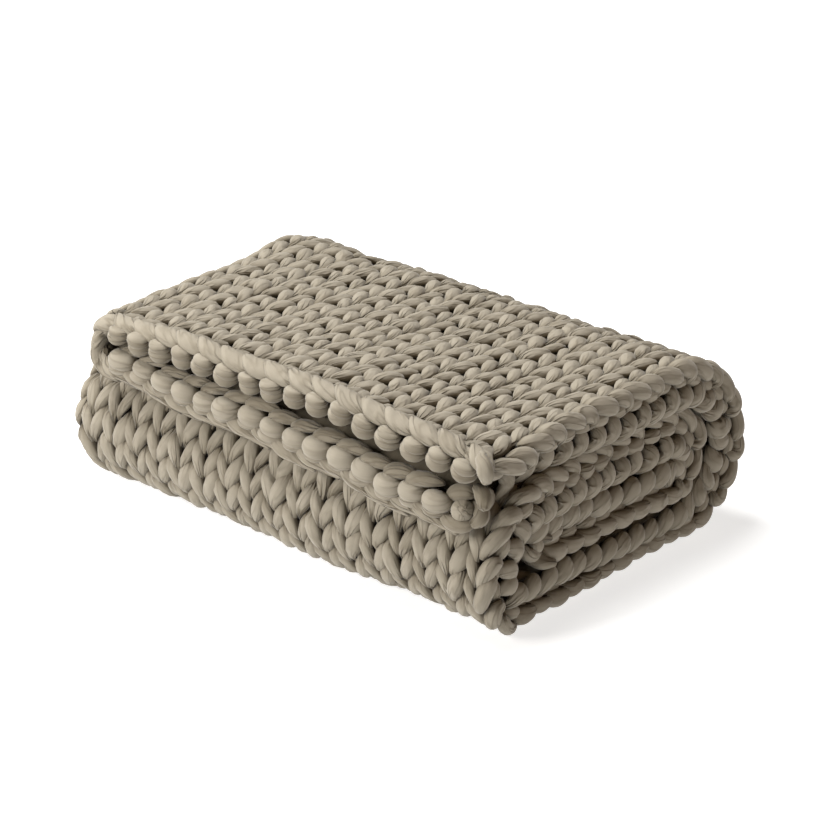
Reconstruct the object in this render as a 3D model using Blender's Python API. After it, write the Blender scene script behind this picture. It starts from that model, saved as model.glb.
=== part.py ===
"""Chunky hand-knit weighted blanket, folded into a bundle.

The cloth is one knitted sheet.  It is folded once across its width, purl sides together, so two
layers lie on each other, and that pair is rolled up loosely in four flat passes.
Frame: +X along the selvage end, -X at the width fold, -Y at the free cast-on edge, +Z up,
z = 0 on the surface that the bundle lies on.
"""
import math

import bmesh
import bpy
import numpy as np

# ---- driving dimensions, metres ----
BUNDLE_LENGTH = 0.570      # width fold to selvages, along X
LAYER = 0.0232             # one knitted layer, front to back of the cloth
LAYER_GAP = 0.0024         # between the two layers of the pair
PASS_GAP = 0.0032          # between neighbouring passes of the pair
FREE_EDGE_Y = -0.186       # cast-on edge of the top pass
OUTER_FOLD_Y = 0.106       # centre of the large fold at the back
WALL_Y = -0.171            # middle of the pair where it stands up at the front
FOOT_RADIUS = 0.036        # the front wall's bend off the surface
INNER_FOLD_Y = 0.100       # centre of the small fold inside
BIND_OFF_Y = -0.108        # inner end of the cloth

DROOP_RUN = 0.100          # the lower layer hangs over the front wall along this much cloth
DROOP_CURVE = 2.6          # steeper than a parabola towards its edge
DROOP = {"fold": 0.026, "selvage": 0.043}    # how far its edge hangs, at the two ends of the bundle
EDGE_LIFT = 0.004          # the upper layer's edge curls up
EDGE_LIFT_RUN = 0.030
LOWER_EDGE_OUT = 0.008     # the lower layer's edge reaches further out
LOWER_EDGE_SHORT = 0.024   # and stops short of the upper layer's selvage
LOWER_SHORT_RUN = 0.240

HALF_PAIR = LAYER_GAP / 2 + LAYER / 2        # pair's middle to the middle of one layer
PAIR_HALF_THICK = LAYER_GAP / 2 + LAYER
PASS_PITCH = 2 * PAIR_HALF_THICK + PASS_GAP
BOTTOM_Z = PAIR_HALF_THICK
OUTER_RADIUS = 1.5 * PASS_PITCH
SHOULDER_RADIUS = 2 * PASS_PITCH - FOOT_RADIUS
INNER_RADIUS = 0.5 * PASS_PITCH

# The pair's middle line in the YZ plane, from the cast-on edge to the bind-off edge.
# run, its length, how far it turns in degrees, how many sections it gets
RUNS = (
    ("top pass", OUTER_FOLD_Y - FREE_EDGE_Y, 0, 16),
    ("outer fold", math.pi * OUTER_RADIUS, -180, 14),
    ("bottom pass", OUTER_FOLD_Y - WALL_Y - FOOT_RADIUS, 0, 5),
    ("wall foot", math.pi / 2 * FOOT_RADIUS, -90, 6),
    ("wall shoulder", math.pi / 2 * SHOULDER_RADIUS, -90, 8),
    ("upper inner pass", INNER_FOLD_Y - WALL_Y - SHOULDER_RADIUS, 0, 5),
    ("inner fold", math.pi * INNER_RADIUS, -180, 12),
    ("lower inner pass", INNER_FOLD_Y - BIND_OFF_Y, 0, 6),
)

# How far each place along the cloth stands out past the ends of the bundle, from the same start.
# place along the cloth as a share, at the selvage end, at the width fold
END_REACH = (
    (0.00, 0.000, -0.014),
    (0.12, 0.002, -0.011),
    (0.28, -0.002, -0.007),
    (0.42, 0.000, -0.002),
    (0.52, 0.001, 0.008),
    (0.57, 0.002, 0.017),
    (0.64, 0.001, 0.015),
    (0.74, -0.004, -0.002),
    (0.86, -0.002, -0.008),
    (1.00, -0.005, -0.010),
)

ACROSS_FLAT = 11           # stations across each layer
ACROSS_BEND = 6            # stations round the width fold
SHARP_DEGREES = 50


def middle_line():
    """Places, headings and distances along the pair's middle line."""
    y, z, heading, along = FREE_EDGE_Y, BOTTOM_Z + 3 * PASS_PITCH, 0.0, 0.0
    rows = [(along, y, z, heading)]
    for _, length, turn, sections in RUNS:
        for _ in range(sections):
            step = length / sections
            bend = math.radians(turn) / sections
            chord = step if bend == 0 else 2 * step / bend * math.sin(bend / 2)
            y += chord * math.cos(heading + bend / 2)
            z += chord * math.sin(heading + bend / 2)
            heading += bend
            along += step
            rows.append((along, y, z, heading))
    return rows


def stations_across():
    """Share of the way from selvage to fold (1 on the fold), and the turn round the fold."""
    flat = np.linspace(0, 1, ACROSS_FLAT)
    bend = np.linspace(0, math.pi, ACROSS_BEND + 2)[1:-1]
    outer = [(share, 0.0) for share in flat]
    turn = [(1.0, angle) for angle in bend]
    inner = [(share, math.pi) for share in flat[::-1]]
    return outer + turn + inner


def middle_surface():
    """Grid of points on the middle of the cloth: a row for each section, a column for each station."""
    line = middle_line()
    total = line[-1][0]
    place, selvage_reach, fold_reach = np.array(END_REACH).T
    grid = []
    for along, y, z, heading in line:
        right = BUNDLE_LENGTH / 2 + np.interp(along / total, place, selvage_reach)
        left = -BUNDLE_LENGTH / 2 - np.interp(along / total, place, fold_reach)
        droop_share = max(0.0, 1 - along / DROOP_RUN) ** DROOP_CURVE
        bend_radius = HALF_PAIR + DROOP["fold"] * droop_share / 2
        bend_centre = left + LAYER / 2 + bend_radius
        lift_share = max(0.0, 1 - along / EDGE_LIFT_RUN) ** 2
        short = LOWER_EDGE_SHORT * max(0.0, 1 - along / LOWER_SHORT_RUN) ** 2
        row = []
        for share, angle in stations_across():
            side = math.cos(angle)
            lower = (1 - side) / 2
            end = right - short * lower
            x = end + (bend_centre - end) * share - bend_radius * math.sin(angle)
            hang = DROOP["selvage"] + (DROOP["fold"] - DROOP["selvage"]) * share
            row.append((
                x,
                y - side * HALF_PAIR * math.sin(heading) - lower * LOWER_EDGE_OUT * droop_share,
                z + side * HALF_PAIR * math.cos(heading)
                - lower * hang * droop_share + (1 - lower) * EDGE_LIFT * lift_share,
            ))
        grid.append(row)
    return np.array(grid)


def surface_normals(grid):
    """Unit normals of the grid, pointing to the knit side."""
    along = np.gradient(grid, axis=0)
    across = np.gradient(grid, axis=1)
    normal = np.cross(along, across)
    return normal / np.linalg.norm(normal, axis=2, keepdims=True)


def cloth_mesh():
    """The middle surface given its thickness, closed along its edges, standing on its origin."""
    middle = middle_surface()
    normal = surface_normals(middle)
    sides = (middle + normal * LAYER / 2, middle - normal * LAYER / 2)
    bm = bmesh.new()
    knit, purl = ([[bm.verts.new(point) for point in row] for row in side] for side in sides)
    rows, columns = middle.shape[:2]
    for i in range(rows - 1):
        for j in range(columns - 1):
            bm.faces.new((knit[i][j], knit[i + 1][j], knit[i + 1][j + 1], knit[i][j + 1]))
            bm.faces.new((purl[i][j], purl[i][j + 1], purl[i + 1][j + 1], purl[i + 1][j]))
    for j in range(columns - 1):
        bm.faces.new((knit[0][j], knit[0][j + 1], purl[0][j + 1], purl[0][j]))
        bm.faces.new((knit[-1][j], purl[-1][j], purl[-1][j + 1], knit[-1][j + 1]))
    for i in range(rows - 1):
        bm.faces.new((knit[i][0], purl[i][0], purl[i + 1][0], knit[i + 1][0]))
        bm.faces.new((knit[i][-1], knit[i + 1][-1], purl[i + 1][-1], purl[i][-1]))
    bmesh.ops.recalc_face_normals(bm, faces=bm.faces)
    corners = np.concatenate(sides).reshape(-1, 3)
    low, high = corners.min(axis=0), corners.max(axis=0)
    stand = (-(low[0] + high[0]) / 2, -(low[1] + high[1]) / 2, -low[2])
    bmesh.ops.translate(bm, verts=bm.verts, vec=stand)
    mesh = bpy.data.meshes.new("blanket")
    bm.to_mesh(mesh)
    bm.free()
    mesh.shade_smooth()
    mesh.set_sharp_from_angle(angle=math.radians(SHARP_DEGREES))
    return mesh


def yarn_material():
    material = bpy.data.materials.new("taupe cotton jersey")
    material.use_nodes = True
    shader = material.node_tree.nodes["Principled BSDF"]
    shader.inputs["Base Color"].default_value = (0.37, 0.31, 0.245, 1)
    shader.inputs["Roughness"].default_value = 0.9
    shader.inputs["Metallic"].default_value = 0.0
    return material


def clear_scene():
    for old in list(bpy.data.objects):
        bpy.data.objects.remove(old, do_unlink=True)


clear_scene()
blanket = bpy.data.objects.new("blanket", cloth_mesh())
blanket.data.materials.append(yarn_material())
bpy.context.scene.collection.objects.link(blanket)
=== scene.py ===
import math

import bpy
import numpy as np
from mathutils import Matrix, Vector


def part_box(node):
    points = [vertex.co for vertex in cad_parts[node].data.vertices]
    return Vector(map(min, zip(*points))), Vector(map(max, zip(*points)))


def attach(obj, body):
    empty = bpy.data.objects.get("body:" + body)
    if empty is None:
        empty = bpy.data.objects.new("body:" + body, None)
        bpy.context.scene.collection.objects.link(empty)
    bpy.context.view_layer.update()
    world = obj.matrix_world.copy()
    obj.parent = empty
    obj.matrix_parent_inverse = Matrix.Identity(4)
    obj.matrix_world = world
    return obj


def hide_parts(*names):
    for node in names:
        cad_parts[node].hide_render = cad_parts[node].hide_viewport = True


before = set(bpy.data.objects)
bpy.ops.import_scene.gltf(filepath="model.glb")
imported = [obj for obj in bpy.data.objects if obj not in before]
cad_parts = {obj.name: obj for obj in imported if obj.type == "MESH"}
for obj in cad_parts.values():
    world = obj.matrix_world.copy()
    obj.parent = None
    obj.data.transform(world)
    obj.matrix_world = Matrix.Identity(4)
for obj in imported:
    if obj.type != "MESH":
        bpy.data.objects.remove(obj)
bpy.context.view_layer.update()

# the bundle: how the cloth lies, in metres, as its solid does
bundle = {
    "length": 0.570,            # width fold to selvages
    "layer": 0.0232,            # one knitted layer
    "layerGap": 0.0024,
    "passGap": 0.0032,
    "freeEdgeY": -0.186,
    "outerFoldY": 0.106,
    "wallY": -0.171,
    "footRadius": 0.036,        # where the bottom pass turns up into the wall
    "innerFoldY": 0.100,
    "bindOffY": -0.108,
    "droopRun": 0.100,          # the lower layer hangs over the front wall
    "droopCurve": 2.6,
    "droopFold": 0.026,         # how far down it hangs at the width fold
    "droopSelvage": 0.043,      # and at the selvages
    "edgeLift": 0.004,
    "edgeLiftRun": 0.030,
    "lowerOut": 0.008,          # the lower layer's edge stands out past the upper one's
    "lowerShort": 0.024,        # and stops short of it at the selvages
    "lowerShortRun": 0.240,
    "foldSag": 0.009,           # the outer fold sags and swells below its middle
    "foldSagRows": (18, 2.9),   # middle and reach
    "cornerRise": 0.009,        # and the far corner of the top stands up
    "cornerRiseRows": (11.3, 1.7),
    "cornerRiseFrom": 0.78,     # share of the way from the selvages to the width fold
    "swayRows": (0.5, 5),       # the cast-on edge's sway is gone after these
    "mixCols": (0.36, 0.64),    # the outer layer's rows pass into the inner one's, as shares of the width
}

# place along the cloth as a share, reach past the selvage end, reach past the width fold
endReach = (
    (0.00, 0.000, -0.014),
    (0.12, 0.002, -0.011),
    (0.28, -0.002, -0.007),
    (0.42, 0.000, -0.002),
    (0.52, 0.001, 0.011),
    (0.57, 0.002, 0.023),
    (0.64, 0.001, 0.020),
    (0.74, -0.004, -0.002),
    (0.86, -0.002, -0.008),
    (1.00, -0.005, -0.010),
)

# how the cast-on edge rises and sags: stitches across, metres up
edgeSway = (
    (0.0, -0.012), (1.0, -0.005), (3.0, -0.0033), (4.0, -0.001), (5.0, 0.0025), (6.0, 0.007),
    (7.0, 0.0075), (8.0, 0.005), (10.0, 0.0015), (12.5, 0.005), (14.0, 0.0015), (16.0, 0.000),
    (18.0, 0.004), (19.5, 0.009), (20.5, 0.0075), (22.5, 0.001), (24.0, 0.004), (25.5, 0.008),
    (27.0, 0.0035), (28.6, 0.0035), (29.7, 0.005), (30.7, 0.000), (31.8, -0.003), (33.0, -0.0015),
    (35.0, 0.000),
)

knit = {
    "wales": 35,                # stitches across the cloth
    "rowPitch": 0.0257,         # one row, along the outer layer
    "loopReach": 0.96,          # how far a loop reaches up and down, in rows
    "lean": 0.225,              # how far the legs lean into a V, in wales
    "wallLean": 0.26,           # and on the front wall, where the rows are drawn down
    "leanSkew": 0.070,          # rising legs lean less than falling ones
    "wallPlump": 1.03,          # the wall's legs are plumper
    "bendWales": 1.25,          # stitches taken up by the width fold
    "foldPlump": 0.003,         # past the first rows the width fold stands out this much more
    "firstReach": 0.30,         # the first row reaches down no further than this, in rows
    "firstSize": 0.88,          # and its yarn is slimmer
    "wallRows": (28, 32, 38, 43),       # the wall's look comes in and goes out over these
    "tucked": 0.62,             # painted shade on the yarn's sides and drawn-in ends
    "wallPaintedSideShade": 0.33,         # and how much more painted shade on the wall
    "wallPaintedShadeDepth": 0.0034,       # the wall's yarn gets painted shade as if it lay this much deeper
    "seed": 11,
}

# the yarn of one half stitch: place from foot to head, half width across the cloth's face,
# half thickness through it, how far it stands towards the knit side, how sharply it is drawn in
halfStitch = (
    (0.000, 0.0060, 0.0054, -0.0062, 0.2),
    (0.125, 0.0042, 0.0042, -0.0026, 0.7),
    (0.250, 0.0026, 0.0034, 0.0040, 1.0),
    (0.375, 0.0064, 0.0052, 0.0060, 0.5),
    (0.500, 0.0082, 0.0066, 0.0054, 0.1),
    (0.625, 0.0083, 0.0066, 0.0042, 0.1),
    (0.750, 0.0054, 0.0048, 0.0012, 0.9),
    (0.875, 0.0044, 0.0042, -0.0044, 0.9),
    (1.000, 0.0060, 0.0054, -0.0062, 0.3),
)

# a rising leg is a slimmer rope that stays on top to its head
risingStitch = (
    (0.000, 0.0060, 0.0054, -0.0062, 0.2),
    (0.125, 0.0046, 0.0044, -0.0010, 0.6),
    (0.250, 0.0034, 0.0036, 0.0056, 0.9),
    (0.375, 0.0058, 0.0050, 0.0068, 0.5),
    (0.500, 0.0076, 0.0060, 0.0062, 0.2),
    (0.625, 0.0080, 0.0060, 0.0054, 0.1),
    (0.750, 0.0066, 0.0050, 0.0036, 0.5),
    (0.875, 0.0046, 0.0042, -0.0010, 0.8),
    (1.000, 0.0060, 0.0054, -0.0062, 0.3),
)

halfPair = bundle["layerGap"] / 2 + bundle["layer"] / 2
pairHalfThick = bundle["layerGap"] / 2 + bundle["layer"]
passPitch = 2 * pairHalfThick + bundle["passGap"]
outerRadius = 1.5 * passPitch
shoulderRadius = 2 * passPitch - bundle["footRadius"]
innerRadius = 0.5 * passPitch
runs = (                        # run, length, turn in degrees
    ("top pass", bundle["outerFoldY"] - bundle["freeEdgeY"], 0),
    ("outer fold", math.pi * outerRadius, -180),
    ("bottom pass", bundle["outerFoldY"] - bundle["wallY"] - bundle["footRadius"], 0),
    ("wall foot", math.pi / 2 * bundle["footRadius"], -90),
    ("wall shoulder", math.pi / 2 * shoulderRadius, -90),
    ("upper inner pass", bundle["innerFoldY"] - bundle["wallY"] - shoulderRadius, 0),
    ("inner fold", math.pi * innerRadius, -180),
    ("lower inner pass", bundle["innerFoldY"] - bundle["bindOffY"], 0),
)


def smooth(values, reach):
    # a running average, weighted like a bell
    kernel = np.exp(-0.5 * (np.arange(-3 * reach, 3 * reach + 1) / reach) ** 2)
    padded = np.pad(values, 3 * reach, mode="edge")
    return np.convolve(padded, kernel / kernel.sum(), mode="valid")


def middleLine(step=0.0005, past=0.06):
    # the line between the two layers, seen from the selvages, and the row of each layer along it
    total = sum(length for _, length, _ in runs)
    along = np.arange(-past, total + past, step)
    ends = np.cumsum([length for _, length, _ in runs])
    turning = np.zeros_like(along)
    start = 0.0
    for (_, length, turn), end in zip(runs, ends):
        turning[(along >= start) & (along < end)] = math.radians(turn) / length
        start = end
    heading = np.concatenate(([0], np.cumsum(turning * step)[:-1]))
    middle = heading + turning * step / 2
    y = np.concatenate(([0], np.cumsum(np.cos(middle) * step)[:-1]))
    z = np.concatenate(([0], np.cumsum(np.sin(middle) * step)[:-1]))
    zero = np.argmin(np.abs(along))
    y += bundle["freeEdgeY"] - y[zero]
    z += pairHalfThick + 3 * passPitch - z[zero]
    perRow = 1 / knit["rowPitch"]
    outerRows = np.cumsum((1 + halfPair * np.abs(turning)) * perRow * step)
    rows = outerRows - outerRows[zero]
    innerDensity = smooth(1 - halfPair * np.abs(turning), 50)
    inside = (along >= 0) & (along <= total)
    wanted = rows[inside][-1]
    lift = (wanted * knit["rowPitch"] - (innerDensity[inside] * step).sum()) / total
    innerRows = np.cumsum((innerDensity + lift) * perRow * step)
    innerRows -= innerRows[zero]
    ownPace = 0.6                 # share of the inner layer's own pace; the rest is the outer one's
    innerRows = ownPace * innerRows + (1 - ownPace) * rows
    return {"along": along, "y": y, "z": z, "heading": heading, "total": total,
            "outerRows": rows, "innerRows": innerRows, "rowCount": wanted}


line = middleLine()
rowCount = int(line["rowCount"])
print("cloth of", rowCount, "rows of", knit["wales"], "stitches")


def easeStep(x, low, high):
    t = np.clip((x - low) / (high - low), 0, 1)
    return t * t * (3 - 2 * t)


def easeThrough(x, low, full, fall, gone):
    # up from low to full, and down again from fall to gone
    return easeStep(x, low, full) * (1 - easeStep(x, fall, gone))


def hump(x, middle, reach):
    return np.exp(-((x - middle) / reach) ** 2)


swayCols = np.linspace(-1, 36, 371)
swayCurve = (swayCols, smooth(np.interp(swayCols, *np.array(edgeSway).T), 4))


def middleCloth(col, row):
    # the middle of the cloth, before it is moved onto its solid
    wales = knit["wales"]
    mixFrom, mixTo = bundle["mixCols"]
    inner = easeStep(col, wales * mixFrom, wales * mixTo)
    along = (np.interp(row, line["outerRows"], line["along"]) * (1 - inner)
             + np.interp(row, line["innerRows"], line["along"]) * inner)
    y = np.interp(along, line["along"], line["y"])
    z = np.interp(along, line["along"], line["z"])
    heading = np.interp(along, line["along"], line["heading"])
    place, selvageReach, foldReach = np.array(endReach).T
    share = along / line["total"]
    right = bundle["length"] / 2 + np.interp(share, place, selvageReach)
    left = -bundle["length"] / 2 - np.interp(share, place, foldReach)
    left = left - knit["foldPlump"] * easeStep(row, 0, 3)
    droop = np.clip(1 - along / bundle["droopRun"], 0, 1.12) ** bundle["droopCurve"]
    lift = np.clip(1 - along / bundle["edgeLiftRun"], 0, 1.3) ** 2
    short = bundle["lowerShort"] * np.clip(1 - along / bundle["lowerShortRun"], 0, 1.1) ** 2
    bendRadius = halfPair + bundle["droopFold"] * droop / 2
    bendCentre = left + bundle["layer"] / 2 + bendRadius
    bendWales = knit["bendWales"] * bendRadius / halfPair
    flat = (wales - bendWales) / 2
    angle = np.clip((col - flat) / bendWales, 0, 1) * math.pi
    side = np.cos(angle)
    lower = (1 - side) / 2
    toFold = np.where(col < wales / 2, col, wales - col) / flat
    end = right - short * lower
    x = np.where(toFold < 1, end + (bendCentre - end) * toFold, bendCentre)
    x = x - bendRadius * np.sin(angle)
    hang = bundle["droopSelvage"] + (bundle["droopFold"] - bundle["droopSelvage"]) * np.clip(toFold, 0, 1)
    y = y - side * halfPair * np.sin(heading) - lower * bundle["lowerOut"] * droop
    z = z + side * halfPair * np.cos(heading) - lower * hang * droop
    z = z + (1 - lower) * bundle["edgeLift"] * lift
    z = z + np.interp(col, *swayCurve) * (1 - easeStep(row, *bundle["swayRows"]))
    y = y + bundle["foldSag"] * hump(row, *bundle["foldSagRows"])
    corner = easeStep(toFold, bundle["cornerRiseFrom"], 1)
    z = z + bundle["cornerRise"] * hump(row, *bundle["cornerRiseRows"]) * corner
    return np.stack([x, y, z], axis=-1)


def unit(v):
    return v / np.maximum(np.linalg.norm(v, axis=-1, keepdims=True), 1e-12)


# slow waves through the cloth's thickness: height, turn for each stitch and for each row, start
slowWaves = (
    (0.0011, 0.71, 0.43, 0.6),
    (0.0009, -0.37, 0.63, 2.1),
    (0.0007, 1.13, -0.29, 4.0),
)


def waviness(col, row):
    waves = 0
    for height, byCol, byRow, start in slowWaves:
        waves = waves + height * np.sin(byCol * col + byRow * row + start)
    return waves


def standShift():
    # the solid's own box tells where the cloth stands
    low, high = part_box("blanket")
    reach = max(selvage for _, selvage, _ in endReach)
    return np.array([
        high[0] - bundle["length"] / 2 - reach,
        high[1] - bundle["outerFoldY"] - outerRadius - pairHalfThick,
        low[2],
    ])


shift = standShift()


def clothFrame(col, row):
    # middle of the cloth with its directions along, across and out of the knit side
    step = 0.02
    middle = middleCloth(col, row)
    along = unit(middleCloth(col, row + step) - middleCloth(col, row - step))
    across = unit(middleCloth(col + step, row) - middleCloth(col - step, row))
    return middle + shift, along, across, unit(np.cross(along, across))


def clothPoint(col, row, out):
    # a place in the cloth: stitches across, rows along, metres towards the knit side
    places = [np.asarray(values, float) for values in (col, row, out)]
    col, row, out = np.broadcast_arrays(*places)
    middle, _, _, normal = clothFrame(col, row)
    slow = waviness(col, row) * easeStep(row, -2, 4)
    return middle + normal * (out + slow)[..., None], normal


def edgePoint(last, row, beyond, out):
    # a place at a selvage: rows along it, metres beyond the cloth's end and towards the knit side
    col = np.full_like(row, knit["wales"] if last else 0.0)
    middle, _, across, normal = clothFrame(col, row)
    outward = across if last else -across
    point = middle + outward * beyond[..., None] + normal * (out + waviness(col, row))[..., None]
    towardsKnit = 0.35            # the yarn faces outward and a little to the knit side
    return point, unit(outward + towardsKnit * normal)


dice = np.random.default_rng(knit["seed"])

# painted shade: how the yarn darkens between its neighbours, where light is cut off, from 0 at full tone
# to 1
shading = {
    "lit": 0.0075,              # yarn this far towards the knit side keeps its full tone
    "deep": 0.0106,             # and is dark this much deeper
    "sides": 0.75,              # share of that on a strand's sides; its top has all, its underside none
    "narrowShare": 0.6,         # how much of the painted side shade shows where the strand is drawn in
    "narrowSpread": 1.6,        # the higher, the shorter the drawn-in stretch
    "underFrom": 0.42,          # and how much on its sides, growing to its underside
    "underGrow": 1.4,
}


def shareOf(values):
    # values from 0 at their least to 1 at their most
    return (values - values.min()) / max(np.ptp(values), 1e-6)


def paintedYarnShade(width, thick, out, sinT, tucked):
    # the painted shade at each point of a strand: where it lies deep, where it is drawn in and on its
    # sides
    height = np.full(len(width), 1.0) if out is None else out
    paintedShade = np.clip((shading["lit"] - height[:, None] - thick[:, None] * sinT) / shading["deep"], 0, 1)
    paintedShade = paintedShade * np.clip(shading["sides"] + sinT, 0, 1)
    narrow = 1 - np.clip(shareOf(width) * shading["narrowSpread"], 0, 1)[:, None]
    under = np.clip(shading["underFrom"] - shading["underGrow"] * sinT, 0, 1)
    return np.maximum(paintedShade, tucked * (shading["narrowShare"] * narrow + under))


def addAttributes(mesh, strand, pinch, tone, paintedShade):
    # what the yarn's material reads at each point
    attributes = (
        ("strand", "FLOAT_VECTOR", "vector", strand),
        ("pinch", "FLOAT", "value", pinch),
        ("tone", "FLOAT", "value", tone),
        ("paintedShade", "FLOAT", "value", paintedShade),
    )
    for name, kind, field, values in attributes:
        attribute = mesh.attributes.new(name, kind, "POINT")
        attribute.data.foreach_set(field, values.astype(np.float32).ravel())


class Strands:
    # collects tubes of yarn and makes them one mesh
    evenRadius = 0.009            # the creases are read round a yarn of this radius

    def __init__(self, name):
        self.name = name
        self.points = []
        self.faces = []
        self.around = []
        self.pinch = []
        self.tone = []
        self.paintedShade = []
        self.count = 0

    def add(self, path, facing, width, thick, pinch, sides, tone, start=0.0, out=None, tucked=0.0):
        n = len(path)
        tangent = unit(np.gradient(path, axis=0))
        across = unit(np.cross(tangent, facing))
        up = np.cross(across, tangent)
        theta = np.arange(sides) / sides * 2 * math.pi
        cosT, sinT = np.cos(theta), np.sin(theta)
        ring = (path[:, None, :] + across[:, None, :] * (width[:, None] * cosT)[..., None]
                + up[:, None, :] * (thick[:, None] * sinT)[..., None])
        length = start + np.concatenate(([0], np.cumsum(np.linalg.norm(np.diff(path, axis=0), axis=1))))
        unrolled = np.stack([
            np.broadcast_to(self.evenRadius * cosT, (n, sides)),
            np.broadcast_to(self.evenRadius * sinT, (n, sides)),
            np.broadcast_to(length[:, None], (n, sides)),
        ], axis=-1)
        base = self.count
        ids = base + np.arange(n * sides).reshape(n, sides)
        nextIds = np.roll(ids, -1, axis=1)
        quads = np.stack([ids[:-1], nextIds[:-1], nextIds[1:], ids[1:]], axis=-1).reshape(-1, 4)
        self.points.append(ring.reshape(-1, 3))
        self.around.append(unrolled.reshape(-1, 3))
        self.pinch.append(np.repeat(pinch, sides))
        tone = np.broadcast_to(tone, n)
        self.tone.append(np.repeat(tone, sides))
        # painted shade between neighbouring strands, kept for the material
        paintedShade = paintedYarnShade(width, thick, out, sinT, tucked)
        self.paintedShade.append(paintedShade.ravel())
        self.paintedShade.append(paintedShade[[0, -1]].mean(axis=1))
        startPole = path[0] - tangent[0] * thick[0] * 0.5
        endPole = path[-1] + tangent[-1] * thick[-1] * 0.5
        self.points.append(np.stack([startPole, endPole]))
        self.around.append(np.array([[0, 0, length[0]], [0, 0, length[-1]]]))
        self.pinch.append(np.array([pinch[0], pinch[-1]]))
        self.tone.append(tone[[0, -1]])
        first, last = base + n * sides, base + n * sides + 1
        startTris = np.stack([np.full(sides, first), nextIds[0], ids[0]], axis=-1)
        endTris = np.stack([np.full(sides, last), ids[-1], nextIds[-1]], axis=-1)
        self.faces.append((quads, np.concatenate([startTris, endTris])))
        self.count += n * sides + 2

    def build(self):
        points = np.concatenate(self.points).astype(np.float32)
        quads = np.concatenate([q for q, _ in self.faces]).astype(np.int32)
        tris = np.concatenate([t for _, t in self.faces]).astype(np.int32)
        mesh = bpy.data.meshes.new(self.name)
        mesh.vertices.add(len(points))
        mesh.vertices.foreach_set("co", points.ravel())
        loops = np.concatenate([quads.ravel(), tris.ravel()])
        mesh.loops.add(len(loops))
        mesh.loops.foreach_set("vertex_index", loops)
        starts = np.concatenate([np.arange(len(quads)) * 4, len(quads) * 4 + np.arange(len(tris)) * 3])
        mesh.polygons.add(len(starts))
        mesh.polygons.foreach_set("loop_start", starts.astype(np.int32))
        mesh.update(calc_edges=True)
        addAttributes(mesh, *map(np.concatenate, (self.around, self.pinch, self.tone, self.paintedShade)))
        mesh.shade_smooth()
        piece = bpy.data.objects.new(self.name, mesh)
        bpy.context.scene.collection.objects.link(piece)
        print(self.name, "triangles", len(quads) * 2 + len(tris))
        return piece


def perLeg(spread):
    # one random value for each half stitch, so that neighbouring legs differ
    return spread * np.clip(dice.standard_normal((rowCount + 2, 2 * knit["wales"] + 2)), -2, 2)


legSize = 1 + perLeg(0.11)        # share of its width
legLift = perLeg(0.0009)          # metres through the cloth
legCol = perLeg(0.028)            # stitches across
legRow = perLeg(0.050)            # rows along
legTone = dice.random((rowCount + 2, 2 * knit["wales"] + 2))


def stitchDetail(col, row):
    # segments in one stitch and sides round the yarn, by how well that stitch shows
    wales = knit["wales"]
    runEnd = np.cumsum([length for _, length, _ in runs])
    nearEnd = min(col, wales - 1 - col)
    nearFold = abs(col + 0.5 - wales / 2)
    along = np.interp(row, line["outerRows"], line["along"])
    outer = col < wales / 2
    margin = 0.03
    nearby = 2.5                  # stitches from a selvage or from the width fold
    shown = outer and (along < runEnd[1] or runEnd[2] - margin < along < runEnd[4] - margin)
    if shown or nearEnd < nearby or nearFold < nearby or row < 2:
        return "fine"
    if outer and along < runEnd[3]:
        return "plain"
    return "hidden"


detail = {"fine": (24, 12), "plain": (14, 10), "hidden": (10, 6)}


def smoothCurve(padded, place):
    # a smooth curve through the rows of a table that has one more row at each end,
    # read at places counted in rows
    i = place.astype(int)
    f = (place - i)[:, None]
    p0, p1, p2, p3 = padded[i], padded[i + 1], padded[i + 2], padded[i + 3]
    return 0.5 * (2 * p1 + (p2 - p0) * f + (2 * p0 - 5 * p1 + 4 * p2 - p3) * f ** 2
                  + (3 * p1 - p0 - 3 * p2 + p3) * f ** 3)


def halfStitchYarn(share, table):
    # the yarn's sizes at a place between foot and head; the curve is mirrored past both
    place = np.clip(share, 0, 1 - 1e-9) * (len(table) - 1)
    table = np.array(table)
    mirrored = np.concatenate([table[1:2], table, table[-2:-1]])
    return smoothCurve(mirrored, place)[:, 1:].T


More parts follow.
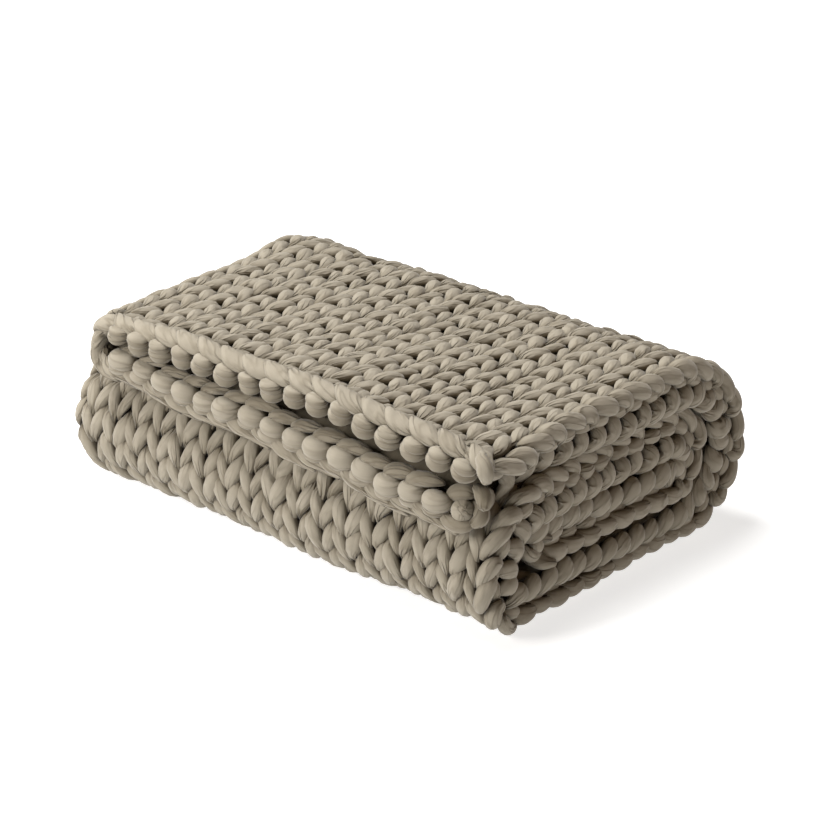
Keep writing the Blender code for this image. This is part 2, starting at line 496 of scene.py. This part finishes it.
def rowStrand(strands, row, firstCol, lastCol, segments, sides):
    # one run of stitches; the outermost half stitches belong to the selvages
    turnFrom = math.pi if firstCol == 0 else 0.0
    turnTo = (lastCol - firstCol) * 2 * math.pi - (math.pi if lastCol == knit["wales"] else 0.0)
    n = int(round((turnTo - turnFrom) / (2 * math.pi) * segments)) + 1
    t = np.linspace(turnFrom, turnTo, n)
    half = firstCol * 2 + t / math.pi
    nodes = np.arange(2 * knit["wales"] + 2) + 0.5
    size = np.interp(half, nodes, legSize[row])
    lift = np.interp(half, nodes, legLift[row])
    dCol = np.interp(half, nodes, legCol[row])
    dRow = np.interp(half, nodes, legRow[row])
    onWall = easeThrough(row, *knit["wallRows"])
    rising = np.sin(t)
    lean = knit["lean"] + (knit["wallLean"] - knit["lean"]) * onWall
    lean = lean - knit["leanSkew"] * rising * (1 - onWall)
    col = firstCol + t / (2 * math.pi) + lean * np.sin(2 * t) + dCol
    reach = knit["loopReach"] * np.cos(t)
    if row == 0:
        reach = np.minimum(reach, knit["firstReach"])
        size = size * knit["firstSize"]
    place = row + 0.5 - reach + dRow
    share = 1 - np.abs(1 - np.mod(t / math.pi, 2))
    rope = (rising > 0) * (1 - onWall)
    falling = halfStitchYarn(share, halfStitch)
    wide, thick, out, pinch = falling * (1 - rope) + halfStitchYarn(share, risingStitch) * rope
    plump = 1 + (knit["wallPlump"] - 1) * onWall
    path, facing = clothPoint(col, place, out + lift)
    tone = np.interp(half, nodes, legTone[row])
    start = row * 3.1 + firstCol * 0.09       # so that no two strands have the same creases
    strands.add(path, facing, wide * size * plump, thick * size, pinch, sides, tone,
                start=start, out=out + lift - knit["wallPaintedShadeDepth"] * onWall,
                tucked=knit["tucked"] + knit["wallPaintedSideShade"] * onWall)


def knitRows(name, firstRow, lastRow):
    strands = Strands(name)
    for row in range(firstRow, lastRow):
        col = 0
        while col < knit["wales"]:
            kind = stitchDetail(col, row)
            end = col
            while end < knit["wales"] and stitchDetail(end, row) == kind:
                end += 1
            segments, sides = detail[kind]
            rowStrand(strands, row, col, end, segments, sides)
            col = end
    return strands.build()


def throughPoints(controls, n):
    # smooth curve through a short table of controls
    controls = np.asarray(controls, float)
    before = 2 * controls[:1] - controls[1:2]
    after = 2 * controls[-1:] - controls[-2:-1]
    place = np.linspace(0, len(controls) - 1 - 1e-9, n)
    return smoothCurve(np.concatenate([before, controls, after]), place)


# how far each leaf strays from its table: along, beyond or across, out, and its width's share
looseness = {
    "cloth": (0.020, 0.030, 0.0006),
    "selvage": (0.045, 0.0006, 0.0006),
    "width": 0.06,
}


def leaf(strands, controls, segments=22, sides=14, flat=0.88, jitter=1.0, edge=None, front=False,
         crease=0.2, tucked=0.3, drawn=1.0):
    # one plump stretch of yarn. Controls are stitch, row, metres out and half width;
    # at a selvage, row, metres beyond the edge, metres out and half width
    table = np.array(controls, float)
    loose = looseness["cloth" if edge is None else "selvage"]
    for i in range(3):
        table[:, i] += loose[i] * jitter * dice.standard_normal()
    table[:, 3] *= 1 + looseness["width"] * jitter * dice.standard_normal()
    curve = throughPoints(table, segments)
    if edge is None:
        path, facing = clothPoint(curve[:, 0], curve[:, 1], curve[:, 2])
    else:
        path, facing = edgePoint(edge == "last", curve[:, 0], curve[:, 1], curve[:, 2])
    if front:
        _, along, _, _ = clothFrame(curve[:, 0], curve[:, 1])
        facing = -along
    width = np.maximum(curve[:, 3], 0.0015)
    pinch = 1 - (1 - crease) * shareOf(width)
    strands.add(path, facing, width, width * flat, pinch * drawn, sides, dice.random(),
                start=dice.random() * 7, tucked=tucked)


# leaves of the outer layer's selvage: rows along, metres beyond the cloth, metres out, half width
longLeaf = (
    (-0.15, -0.015, 0.0060, 0.0036),
    (0.20, -0.011, 0.0080, 0.0070),
    (0.60, -0.007, 0.0060, 0.0082),
    (1.00, -0.0045, 0.0020, 0.0082),
    (1.30, -0.005, -0.0030, 0.0050),
)
spadeLeaf = (
    (-0.05, -0.014, 0.0060, 0.0040),
    (0.35, -0.009, 0.0075, 0.0080),
    (0.75, -0.005, 0.0040, 0.0090),
    (0.90, -0.004, -0.0030, 0.0070),
    (0.78, -0.006, -0.0110, 0.0030),
)
# where the outer layer is undermost both kinds lie flatter, with their pointed ends over the next
underLeaf = (
    (-0.34, -0.006, -0.0020, 0.0024),
    (-0.05, -0.003, 0.0010, 0.0060),
    (0.35, -0.002, 0.0022, 0.0090),
    (0.75, -0.003, 0.0010, 0.0094),
    (1.05, -0.007, -0.0030, 0.0060),
    (1.15, -0.012, -0.0070, 0.0030),
)
fingerLeaf = (
    (0.78, -0.010, -0.0130, 0.0040),
    (0.90, -0.006, -0.0080, 0.0084),
    (0.95, -0.0045, 0.0000, 0.0104),
    (0.78, -0.0055, 0.0060, 0.0092),
    (0.38, -0.007, 0.0095, 0.0058),
    (0.05, -0.009, 0.0100, 0.0026),
)
# and where the inner layer is uppermost its fingers are round at the top
beanLeaf = (
    (0.88, -0.014, -0.0130, 0.0036),
    (0.84, -0.008, -0.0085, 0.0066),
    (0.68, -0.0045, -0.0025, 0.0092),
    (0.42, -0.0040, 0.0035, 0.0104),
    (0.16, -0.0060, 0.0062, 0.0082),
    (0.00, -0.0110, 0.0052, 0.0040),
)

# the end of each outer row, tucked behind the leaves
tuckLeaf = (
    (-0.10, -0.015, -0.0070, 0.0040),
    (0.25, -0.011, -0.0085, 0.0076),
    (0.70, -0.010, -0.0085, 0.0080),
    (1.12, -0.014, -0.0070, 0.0040),
)


# rows where the selvages change, and by how much
selvage = {
    "outerUnder": (21, 31),         # first and last row of the outer layer's undermost pass
    "innerUnder": (22, 33),         # where the inner layer lies over it
    "lastUnder": 52,                # and from here to the bind-off both are so again
    "tuckUnder": (22, 31),          # where the tucked ends lie further in
    "tuckIn": 0.010,
    "drawnRows": (18.5, 22.5, 31, 34),  # the undermost leaves are drawn in, beyond and out
    "drawnIn": (0, -0.010, -0.0020, 0),
    "foldRows": (11, 21),           # round the outer fold the leaves are plumper
    "foldPlump": 1.10,
    "sagRows": 3.4,                 # the first few leaves sag along, beyond and out
    "sagCurve": 1.4,
    "sag": (0.30, 0.006, -0.0050, 0),
    "valleyRows": (38, 41, 46, 49),     # leaves in the inner fold's hollow are slimmer and further in
    "valleySlim": 0.16,
    "valleyIn": 0.007,
    # and this much more painted shade, for the shade in the hollow
    "valleyPaintedShade": 0.25,
}


def between(row, ends):
    # both ends count
    return ends[0] <= row <= ends[1]


def selvages():
    # outer layer: long and spade leaves by turns; inner layer: one curved finger a row
    strands = Strands("selvages")
    for row in range(rowCount):
        deeper = selvage["tuckIn"] if between(row, selvage["tuckUnder"]) else 0
        table = np.array(tuckLeaf) + (row, -deeper, 0, 0)
        leaf(strands, table, segments=14, sides=10, edge="first", tucked=0.7)
    for row in range(rowCount):
        under = between(row, selvage["outerUnder"]) or row >= selvage["lastUnder"]
        table = np.array(underLeaf if under else spadeLeaf if row % 2 else longLeaf)
        if under:
            table *= (1, 1, 1, 1.04 if row % 2 else 0.94)
            table += np.array(selvage["drawnIn"]) * easeThrough(row, *selvage["drawnRows"])
        elif between(row, selvage["foldRows"]):
            table *= (1, 1, 1, selvage["foldPlump"])
        sag = max(0, 1 - row / selvage["sagRows"]) ** selvage["sagCurve"]
        valley = easeThrough(row, *selvage["valleyRows"])
        table = table * (1, 1, 1, 1 - selvage["valleySlim"] * valley)
        table = table - (0, selvage["valleyIn"] * valley, 0, 0)
        table = table + (np.array(selvage["sag"]) * sag + (row, 0, 0, 0))
        leaf(strands, table, edge="first", tucked=0.7 + selvage["valleyPaintedShade"] * valley)
    for row in range(rowCount + 1):
        tall = 0.0015 if row % 2 else -0.0015
        plump = 0.95 if row % 2 else 1.06
        under = between(row, selvage["innerUnder"]) or row >= selvage["lastUnder"]
        table = np.array(beanLeaf if under else fingerLeaf) * (1, 1, 1, plump) + (row, 0, 0, 0)
        table[:2, 2] -= tall
        leaf(strands, table, segments=26, sides=16, flat=0.76, edge="last", tucked=0.85)
    return strands.build()


cord = {
    "upper": (-0.10, 0.0030),   # middle of the cord along the upper edge: row, metres out
    "bend": (0.12, -0.0030),    # round the width fold
    "lower": (0.22, 0.0035),    # along the lower edge
    "core": 0.0070,             # radius of what the turns are wound on
    "hold": 0.0052,             # from the middle to the middle of a turn
    "loose": (0.03, 4, 0.05),   # how far turns stray: stitches, degrees, share of their width
}

# one turn of the cord: place along the edge in stitches, degrees from the knit side to the front,
# half width, half thickness, how far it is raised
cordTurn = (
    (0.66, -40, 0.0012, 0.0014, 0.0050),
    (0.42, -30, 0.0034, 0.0036, 0.0045),
    (0.13, -6, 0.0078, 0.0058, 0.0024),
    (-0.26, 28, 0.0114, 0.0068, 0.0002),
    (-0.66, 66, 0.0090, 0.0060, -0.0014),
    (-1.10, 108, 0.0040, 0.0040, -0.0026),
)


def cordMiddle(col):
    # row and out of the cord's middle at a place along the edge
    bend = knit["bendWales"] * 1.6
    middle = knit["wales"] / 2
    upper, bent, lower = cord["upper"], cord["bend"], cord["lower"]
    stops = (
        (0, upper),
        (middle - 2 * bend, upper),
        (middle - 0.5 * bend, bent),
        (middle + 0.5 * bend, bent),
        (middle + 2 * bend, lower),
        (knit["wales"], lower),
    )
    cols = [stop for stop, _ in stops]
    table = np.array([place for _, place in stops])
    return [np.interp(col, cols, table[:, i]) for i in range(2)]


def cordPoint(col, angle, away):
    # a place on the cord: stitches along the edge, radians from the knit side to the front
    # and metres off its middle
    row, out = cordMiddle(col)
    middle, _, across, normal = clothFrame(col, row)
    forward = unit(np.cross(normal, across))
    facing = normal * np.cos(angle)[:, None] + forward * np.sin(angle)[:, None]
    return middle + normal * (out + waviness(col, row))[:, None] + facing * away[:, None], facing


def windCord(strands, k, turn, stretch=1.0, segments=26, sides=16):
    table = np.array(turn, float)
    alongLoose, turnLoose, widthLoose = cord["loose"]
    table[:, 0] = table[:, 0] * stretch + alongLoose * dice.standard_normal()
    table[:, 1] += turnLoose * dice.standard_normal()
    table[:, 2:4] *= 1 + widthLoose * dice.standard_normal()
    curve = throughPoints(table, segments)
    col = np.clip(k + curve[:, 0], 0.05, knit["wales"] - 0.05)
    path, facing = cordPoint(col, np.radians(curve[:, 1]), cord["hold"] + curve[:, 4])
    width = np.maximum(curve[:, 2], 0.0015)
    pinch = 1 - 0.8 * shareOf(width)
    strands.add(path, facing, width, curve[:, 3], pinch, sides, dice.random(),
                start=dice.random() * 7, tucked=0.5)


castOnPlaces = {
    "cornerShift": 0.42,        # the first turns of the cord crowd to the corner, in stitches
    "cornerShort": 0.25,        # and are this much shorter
    "upperLast": 16,            # the last stitch of the upper edge with a bulb
    "lowerFirst": 19,           # the first of the lower edge with a barrel
    "lowerShift": 0.27,         # the lower edge's stitches crowd towards the selvage
    "lowerCrowd": 0.033,
    "behindCols": (20, 33),     # between these the leaves behind them grow
    "behindGrow": 0.36,
}


def lowerPlace(k):
    # where the lower layer's cast-on stitches lie
    return k + castOnPlaces["lowerShift"] + castOnPlaces["lowerCrowd"] * (k - castOnPlaces["lowerFirst"])


# the loop that ends the upper edge at the front corner: stitch, row, metres out, half width
cornerLoop = (
    (0.58, -0.16, 0.0125, 0.0024),
    (0.34, -0.33, 0.0112, 0.0060),
    (0.08, -0.41, 0.0078, 0.0082),
    (-0.02, -0.43, 0.0010, 0.0090),
    (-0.03, -0.38, -0.0060, 0.0070),
    (0.02, -0.24, -0.0105, 0.0032),
)

# the knot that ends the lower edge below it, with the same columns
cornerKnot = {
    "top": (
        (33.98, 0.49, -0.0100, 0.0060),
        (34.13, 0.60, -0.0125, 0.0090),
        (34.33, 0.69, -0.0130, 0.0098),
        (34.53, 0.77, -0.0125, 0.0088),
        (34.67, 0.80, -0.0100, 0.0055),
    ),
    "ball": (
        (34.79, 0.26, -0.0120, 0.0060),
        (34.69, 0.30, -0.0080, 0.0110),
        (34.56, 0.34, -0.0030, 0.0122),
        (34.42, 0.39, 0.0020, 0.0108),
        (34.35, 0.41, 0.0050, 0.0050),
    ),
    "ring": (
        (34.27, 0.66, -0.0010, 0.0050),
        (34.56, 0.72, 0.0010, 0.0078),
        (34.94, 0.58, 0.0020, 0.0090),
        (35.14, 0.34, 0.0020, 0.0086),
        (35.02, 0.12, 0.0020, 0.0050),
    ),
    "under": (
        (33.92, 0.15, -0.0020, 0.0045),
        (34.16, 0.00, 0.0000, 0.0072),
        (34.56, -0.05, 0.0010, 0.0080),
        (34.86, 0.04, 0.0020, 0.0070),
        (34.98, 0.22, 0.0020, 0.0040),
    ),
    "behind": (
        (34.71, 0.98, -0.0160, 0.0050),
        (35.03, 0.87, -0.0160, 0.0080),
        (35.31, 0.69, -0.0150, 0.0082),
        (35.43, 0.50, -0.0130, 0.0055),
    ),
}

# the doubled bulb under each stitch of the upper edge, from the stitch's place
bulb = {
    "lobe": (
        (0.22, 0.16, -0.0070, 0.0036),
        (0.14, -0.04, -0.0114, 0.0090),
        (-0.08, -0.12, -0.0136, 0.0110),
        (-0.29, -0.04, -0.0116, 0.0090),
        (-0.38, 0.18, -0.0070, 0.0036),
    ),
    "shoulder": (
        (0.14, -0.16, -0.0022, 0.0040),
        (0.02, -0.23, -0.0050, 0.0088),
        (-0.20, -0.28, -0.0066, 0.0106),
        (-0.43, -0.24, -0.0056, 0.0086),
        (-0.56, -0.16, -0.0030, 0.0036),
    ),
}

# the lower edge: a barrel at each stitch, a crescent over it, a leaf behind and the strip below
lowerEdge = {
    "barrel": (
        (0.34, 0.42, -0.0070, 0.0064),
        (0.24, 0.26, -0.0112, 0.0104),
        (0.00, 0.19, -0.0128, 0.0115),
        (-0.24, 0.24, -0.0112, 0.0106),
        (-0.34, 0.42, -0.0070, 0.0066),
    ),
    "crescent": (
        (0.38, 0.30, -0.0030, 0.0050),
        (0.20, 0.12, -0.0060, 0.0078),
        (-0.06, 0.04, -0.0072, 0.0086),
        (-0.32, 0.08, -0.0054, 0.0076),
        (-0.46, 0.24, -0.0020, 0.0046),
    ),
    "behind": (
        (-0.20, 0.42, -0.0170, 0.0050),
        (0.05, 0.50, -0.0200, 0.0062),
        (0.42, 0.57, -0.0206, 0.0060),
        (0.76, 0.62, -0.0198, 0.0046),
        (1.05, 0.66, -0.0184, 0.0020),
    ),
    "strip": (
        (-0.90, 0.22, -0.0075, 0.0062),
        (-0.70, 0.07, -0.0038, 0.0088),
        (-0.36, -0.04, -0.0002, 0.0086),
        (0.06, -0.07, 0.0024, 0.0070),
        (0.57, -0.13, 0.0038, 0.0052),
        (1.06, -0.20, 0.0040, 0.0028),
    ),
}


def placed(controls, at, size=1.0, firstSized=1):
    # controls moved along the edge; the widths from firstSized to the last but one are resized
    table = np.array(controls)
    table[:, 0] += at
    table[firstSized:-1, 3] *= size
    return table


def castOn():
    # the cord along the edge, the corner's loop and knot, a doubled bulb under each stitch
    # of the upper layer, and the lower layer's barrels with what lies round them
    strands = Strands("cast_on")
    wales = knit["wales"]
    col = np.linspace(0.5, wales - 0.5, 260)
    path, facing = cordPoint(col, np.zeros_like(col), np.zeros_like(col))
    core = np.full_like(col, cord["core"])
    strands.add(path, facing, core, core, np.ones_like(col), 10, 0.2)
    upperLast = castOnPlaces["upperLast"]
    lowerFirst = castOnPlaces["lowerFirst"]
    for k in range(1, lowerFirst):
        crowd = max(0, 1 - (k - 1) / 2)
        stretch = 1 - castOnPlaces["cornerShort"] * crowd
        windCord(strands, k - castOnPlaces["cornerShift"] * crowd, cordTurn, stretch=stretch)
    leaf(strands, cornerLoop, segments=26, sides=16, flat=0.8, jitter=0.3, front=True)
    for name, controls in cornerKnot.items():
        ball = name == "ball"
        leaf(strands, controls, segments=26, sides=16, flat=0.95, jitter=0.3, front=ball,
             tucked=0.1 if ball else 0.3, drawn=0.4 if ball else 0.8)
    for k in range(1, upperLast + 1):
        small = 0.86 if k == upperLast else 1.0
        leaf(strands, placed(bulb["lobe"], k, small), segments=26, sides=16, flat=0.94)
        leaf(strands, placed(bulb["shoulder"], k, small), segments=26, sides=16, flat=0.86)
    growFrom, growTo = castOnPlaces["behindCols"]
    for k in range(lowerFirst, wales):
        at = lowerPlace(k)
        if k < wales - 1:
            leaf(strands, placed(lowerEdge["barrel"], at), segments=26, sides=16, flat=0.95, tucked=0.0)
            leaf(strands, placed(lowerEdge["crescent"], at), segments=26, sides=14, flat=0.80,
                 crease=0.40, tucked=0.1)
        if k < wales - 2:
            full = 1 + castOnPlaces["behindGrow"] * (k - growFrom) / (growTo - growFrom)
            leaf(strands, placed(lowerEdge["behind"], at, full, firstSized=0), segments=24, sides=14,
                 flat=0.9, crease=0.35)
    for k in range(lowerFirst - 1, wales - 1):
        leaf(strands, placed(lowerEdge["strip"], lowerPlace(k)), segments=28, sides=14, flat=0.66,
             crease=0.32, tucked=0.1)
    return strands.build()


# the bound-off corner is drawn together: row, metres beyond the edge, metres out, half width
tail = (
    (
        (58.9, -0.012, -0.0150, 0.0040),
        (59.4, -0.006, -0.0170, 0.0070),
        (59.9, -0.005, -0.0160, 0.0068),
        (60.3, -0.009, -0.0130, 0.0040),
    ),
    (
        (59.0, -0.012, -0.0260, 0.0036),
        (59.5, -0.006, -0.0275, 0.0062),
        (59.9, -0.006, -0.0250, 0.0060),
        (60.2, -0.009, -0.0220, 0.0036),
    ),
    (
        (60.7, -0.012, -0.0220, 0.0040),
        (60.6, -0.006, -0.0170, 0.0066),
        (60.5, -0.005, -0.0110, 0.0068),
        (60.2, -0.009, -0.0070, 0.0040),
    ),
    (
        (60.1, -0.010, -0.0020, 0.0044),
        (60.6, -0.006, -0.0030, 0.0078),
        (61.0, -0.006, -0.0080, 0.0076),
        (61.1, -0.010, -0.0150, 0.0044),
    ),
)


# one leaf a stitch closes the last row
bindLeaf = (
    (-0.25, 0.05, 0.0060, 0.0040),
    (0.05, 0.42, 0.0050, 0.0086),
    (0.45, 0.55, -0.0010, 0.0104),
    (0.80, 0.42, -0.0070, 0.0086),
    (1.10, 0.05, -0.0100, 0.0040),
)


def bindOff():
    strands = Strands("bind_off")
    for controls in tail:
        leaf(strands, controls, segments=22, sides=14, flat=0.85, edge="first", crease=0.4)
    last = rowCount - 0.1
    for k in range(knit["wales"]):
        leaf(strands, np.array(bindLeaf) + (k, last, 0, 0), segments=16, sides=10)
    return strands.build()


jersey = {
    "colour": (0.274, 0.244, 0.192),
    "roughness": 0.9,
    "gloss": 0.25,
    "sheen": 0.15,
    "sheenRoughness": 0.5,
    "foldScale": (112, 112, 30),    # creases along the yarn
    "foldSharp": 12.0,
    "foldHeight": 0.0018,
    # painted shade in the creases
    "foldPaintedShade": 0.66,
    "ribScale": (700, 700, 160),    # the jersey's fine rib
    "ribHeight": 0.00012,
    "ribContrast": 0.10,
    "softScale": (90, 90, 70),      # slow unevenness of the stuffing
    "softHeight": 0.0022,
    "paintedShadeDark": 0.93,               # how dark the painted shade makes the deepest yarn
    "paintedShadeWarmth": (1.0, 1.08, 1.24),    # painted shade is warmer: a power for each of red, green and blue
}


def creasesAndPaintedShade():
    # creases that run along the yarn, deepest where it is drawn in, over a fine jersey rib; the tone it
    # gives carries painted shade in the creases and between the strands
    group = bpy.data.node_groups.new("yarnCreasesAndPaintedShade", "ShaderNodeTree")
    group.interface.new_socket("Height", in_out="OUTPUT", socket_type="NodeSocketFloat")
    group.interface.new_socket("Tone", in_out="OUTPUT", socket_type="NodeSocketVector")
    nodes, links = group.nodes, group.links
    result = nodes.new("NodeGroupOutput")

    def attribute(name):
        node = nodes.new("ShaderNodeAttribute")
        node.attribute_name = name
        return node

    def noise(vector, scale, detailLevel, roughness=0.5):
        mapping = nodes.new("ShaderNodeVectorMath")
        mapping.operation = "MULTIPLY"
        mapping.inputs[1].default_value = scale
        links.new(vector, mapping.inputs[0])
        node = nodes.new("ShaderNodeTexNoise")
        node.inputs["Scale"].default_value = 1
        node.inputs["Detail"].default_value = detailLevel
        node.inputs["Roughness"].default_value = roughness
        links.new(mapping.outputs[0], node.inputs["Vector"])
        return node.outputs["Fac"]

    def mathNode(operation, first, second=None, third=None):
        node = nodes.new("ShaderNodeMath")
        node.operation = operation
        for socket, value in zip(node.inputs, (first, second, third)):
            if value is None:
                continue
            if isinstance(value, (int, float)):
                socket.default_value = value
            else:
                links.new(value, socket)
        return node.outputs[0]

    strand = attribute("strand")
    pinch = attribute("pinch")
    tone = attribute("tone")
    paintedShade = attribute("paintedShade")
    folds = noise(strand.outputs["Vector"], jersey["foldScale"], 1.3, 0.5)
    fine = noise(strand.outputs["Vector"], jersey["ribScale"], 1.0)
    soft = noise(strand.outputs["Vector"], jersey["softScale"], 1.0)
    ridged = mathNode("ABSOLUTE", mathNode("SUBTRACT", folds, 0.5))
    ridged = mathNode("SMOOTH_MIN", mathNode("MULTIPLY", ridged, jersey["foldSharp"]), 1.0, 0.3)
    mask = mathNode("ADD", mathNode("MULTIPLY", mathNode("POWER", pinch.outputs["Fac"], 1.2), 0.80), 0.13)
    mask = mathNode("MULTIPLY", mask, mathNode("MULTIPLY_ADD", tone.outputs["Fac"], 0.9, 0.55))
    height = mathNode("MULTIPLY", mathNode("MULTIPLY", ridged, mask), jersey["foldHeight"])
    height = mathNode("ADD", height, mathNode("MULTIPLY", fine, jersey["ribHeight"]))
    height = mathNode("ADD", height, mathNode("MULTIPLY", soft, jersey["softHeight"]))
    links.new(height, result.inputs["Height"])
    shade = mathNode("MULTIPLY_ADD", tone.outputs["Fac"], 0.06, 0.95)
    # painted shade in the creases, strongest where the yarn is drawn in
    crease = mathNode("MULTIPLY", mathNode("SUBTRACT", 1.0, ridged), mask)
    paintedCreaseShade = mathNode("MULTIPLY", crease, jersey["foldPaintedShade"])
    shade = mathNode("MULTIPLY", shade, mathNode("SUBTRACT", 1.0, paintedCreaseShade))
    shade = mathNode("MULTIPLY", shade, mathNode("MULTIPLY_ADD", fine, jersey["ribContrast"], 0.95))
    # painted shade where the yarn lies deep between its neighbours
    deep = mathNode("MULTIPLY", paintedShade.outputs["Fac"], jersey["paintedShadeDark"])
    shade = mathNode("MULTIPLY", shade, mathNode("SUBTRACT", 1.0, deep))
    # painted shade turns warmer as it darkens
    warmer = nodes.new("ShaderNodeCombineXYZ")
    for socket, power in zip(warmer.inputs, jersey["paintedShadeWarmth"]):
        links.new(mathNode("POWER", shade, power), socket)
    links.new(warmer.outputs[0], result.inputs["Tone"])
    return group


def jerseyMaterial():
    material = bpy.data.materials.new("jerseyYarn")
    material.use_nodes = True
    nodes, links = material.node_tree.nodes, material.node_tree.links
    shader = nodes["Principled BSDF"]
    shader.inputs["Roughness"].default_value = jersey["roughness"]
    shader.inputs["Specular IOR Level"].default_value = jersey["gloss"]
    shader.inputs["Sheen Weight"].default_value = jersey["sheen"]
    shader.inputs["Sheen Roughness"].default_value = jersey["sheenRoughness"]
    creasesAndShade = nodes.new("ShaderNodeGroup")
    creasesAndShade.node_tree = creasesAndPaintedShade()
    toned = nodes.new("ShaderNodeVectorMath")
    toned.operation = "MULTIPLY"
    toned.inputs[0].default_value = jersey["colour"]
    links.new(creasesAndShade.outputs["Tone"], toned.inputs[1])
    links.new(toned.outputs[0], shader.inputs["Base Color"])
    bump = nodes.new("ShaderNodeBump")
    bump.inputs["Strength"].default_value = 1.0
    bump.inputs["Distance"].default_value = 1.0
    links.new(creasesAndShade.outputs["Height"], bump.inputs["Height"])
    links.new(bump.outputs["Normal"], shader.inputs["Normal"])
    return material


ground = {
    "out": -0.0070,             # where the loops cross
    "thick": 0.0012,
    "walePitch": 0.033,         # one stitch across
    "marginWales": 0.36,
    "firstRow": 0.7,
    "lastRow": 0.6,             # this many rows short of the bind-off
    "edgePaintedShade": 0.6,            # painted shade, less near the cast-on edge than inside
    "edgeRows": (3, 7),
}


def groundSheet():
    # the crossings of the loops close the cloth between the legs: one thin sheet on the cloth's folds,
    # carrying painted shade so the gaps look dark
    wales = knit["wales"]
    bend = knit["bendWales"] * 1.8
    cols = np.concatenate([
        np.linspace(ground["marginWales"], wales / 2 - bend, 24)[:-1],
        np.linspace(wales / 2 - bend, wales / 2 + bend, 21),
        np.linspace(wales / 2 + bend, wales - ground["marginWales"], 24)[1:],
    ])
    rows = np.linspace(ground["firstRow"], rowCount - ground["lastRow"], 2 * rowCount)
    colGrid, rowGrid = np.meshgrid(cols, rows)
    points, _ = clothPoint(colGrid, rowGrid, np.full(colGrid.shape, ground["out"]))
    ids = np.arange(points[..., 0].size).reshape(points.shape[:2])
    quads = np.stack([ids[:-1, :-1], ids[1:, :-1], ids[1:, 1:], ids[:-1, 1:]], axis=-1).reshape(-1, 4)
    mesh = bpy.data.meshes.new("knit_ground")
    mesh.from_pydata(points.reshape(-1, 3).tolist(), [], quads.tolist())
    plain = np.zeros_like(colGrid)
    strand = np.stack([colGrid * ground["walePitch"], plain, rowGrid * knit["rowPitch"]], axis=-1)
    # painted shade for the sheet, full inside and less near the cast-on edge
    paintedSheetShade = ground["edgePaintedShade"] + (1 - ground["edgePaintedShade"]) * easeStep(rowGrid, *ground["edgeRows"])
    addAttributes(mesh, strand, plain, plain, paintedSheetShade)
    mesh.shade_smooth()
    piece = bpy.data.objects.new("knit_ground", mesh)
    bpy.context.scene.collection.objects.link(piece)
    bpy.ops.object.select_all(action="DESELECT")
    piece.select_set(True)
    bpy.context.view_layer.objects.active = piece
    solid = piece.modifiers.new("thickness", "SOLIDIFY")
    solid.thickness = ground["thick"]
    solid.offset = 0
    bpy.ops.object.modifier_apply(modifier=solid.name)
    print("knit_ground triangles", sum(len(p.vertices) - 2 for p in piece.data.polygons))
    return piece


yarn = jerseyMaterial()
pieces = []
chunks = 6
edges = np.linspace(0, rowCount, chunks + 1).round().astype(int)
for number in range(chunks):
    pieces.append(knitRows(f"knit_{number + 1}", int(edges[number]), int(edges[number + 1])))
pieces.append(selvages())
pieces.append(castOn())
pieces.append(bindOff())
sheet = groundSheet()
pieces.append(sheet)
for piece in pieces:
    piece.data.materials.append(yarn)
    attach(piece, "root")
    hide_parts("blanket")

# stage, light and camera
studio = {
    "azimuth": 42.27,           # degrees from the front towards the selvages
    "elevation": 23.42,
    "distance": 3.2,
    "lens": 130.8,
    "target": (0.0174, 0.0117, 0.0950),
    "floorTone": 0.55,
    "floorGlow": 0.71,
    "airColour": (1, 0.82, 0.60, 1),
    "airStrength": 0.05,
    "lampAim": (0, 0, 0.08),
}

# place, side, watts, colour
lamps = {
    "overhead": ((-0.7, -0.3, 2.9), 1.5, 131, (1, 1, 1)),
    "key": ((-1.28, -2.95, 1.55), 1.4, 119, (1, 0.975, 0.94)),
    "warm": ((2.4, 0.6, 1.6), 2.0, 6.5, (1, 0.62, 0.32)),
}


def addStage():
    bpy.ops.mesh.primitive_plane_add(size=30, location=(0, 0, 0))
    floor = bpy.context.object
    floor.name = "floor"
    material = bpy.data.materials.new("paleFloor")
    material.use_nodes = True
    shader = material.node_tree.nodes["Principled BSDF"]
    shader.inputs["Base Color"].default_value = (studio["floorTone"],) * 3 + (1,)
    shader.inputs["Roughness"].default_value = 0.9
    shader.inputs["Emission Color"].default_value = (1, 1, 1, 1)
    shader.inputs["Emission Strength"].default_value = studio["floorGlow"]
    floor.data.materials.append(material)


def addLamp(name, location, side, power, colour):
    data = bpy.data.lights.new(name, "AREA")
    data.energy = power
    data.color = colour
    data.shape = "SQUARE"
    data.size = side
    light = bpy.data.objects.new(name, data)
    light.location = location
    aim = Vector(studio["lampAim"]) - Vector(location)
    light.rotation_euler = aim.to_track_quat("-Z", "Y").to_euler()
    bpy.context.scene.collection.objects.link(light)


def addCamera():
    a, e = math.radians(studio["azimuth"]), math.radians(studio["elevation"])
    back = Vector((math.sin(a) * math.cos(e), -math.cos(a) * math.cos(e), math.sin(e)))
    data = bpy.data.cameras.new("camera")
    data.lens = studio["lens"]
    camera = bpy.data.objects.new("camera", data)
    camera.location = Vector(studio["target"]) + back * studio["distance"]
    camera.rotation_euler = back.to_track_quat("Z", "Y").to_euler()
    bpy.context.scene.collection.objects.link(camera)
    bpy.context.scene.camera = camera


def addAir():
    world = bpy.data.worlds.new("studio")
    bpy.context.scene.world = world
    world.use_nodes = True
    background = world.node_tree.nodes["Background"]
    background.inputs["Color"].default_value = studio["airColour"]
    background.inputs["Strength"].default_value = studio["airStrength"]


addStage()
addCamera()
for name, lamp in lamps.items():
    addLamp(name, *lamp)
addAir()
bpy.context.scene.view_settings.view_transform = "Standard"
print("floor, lamps and camera are set")
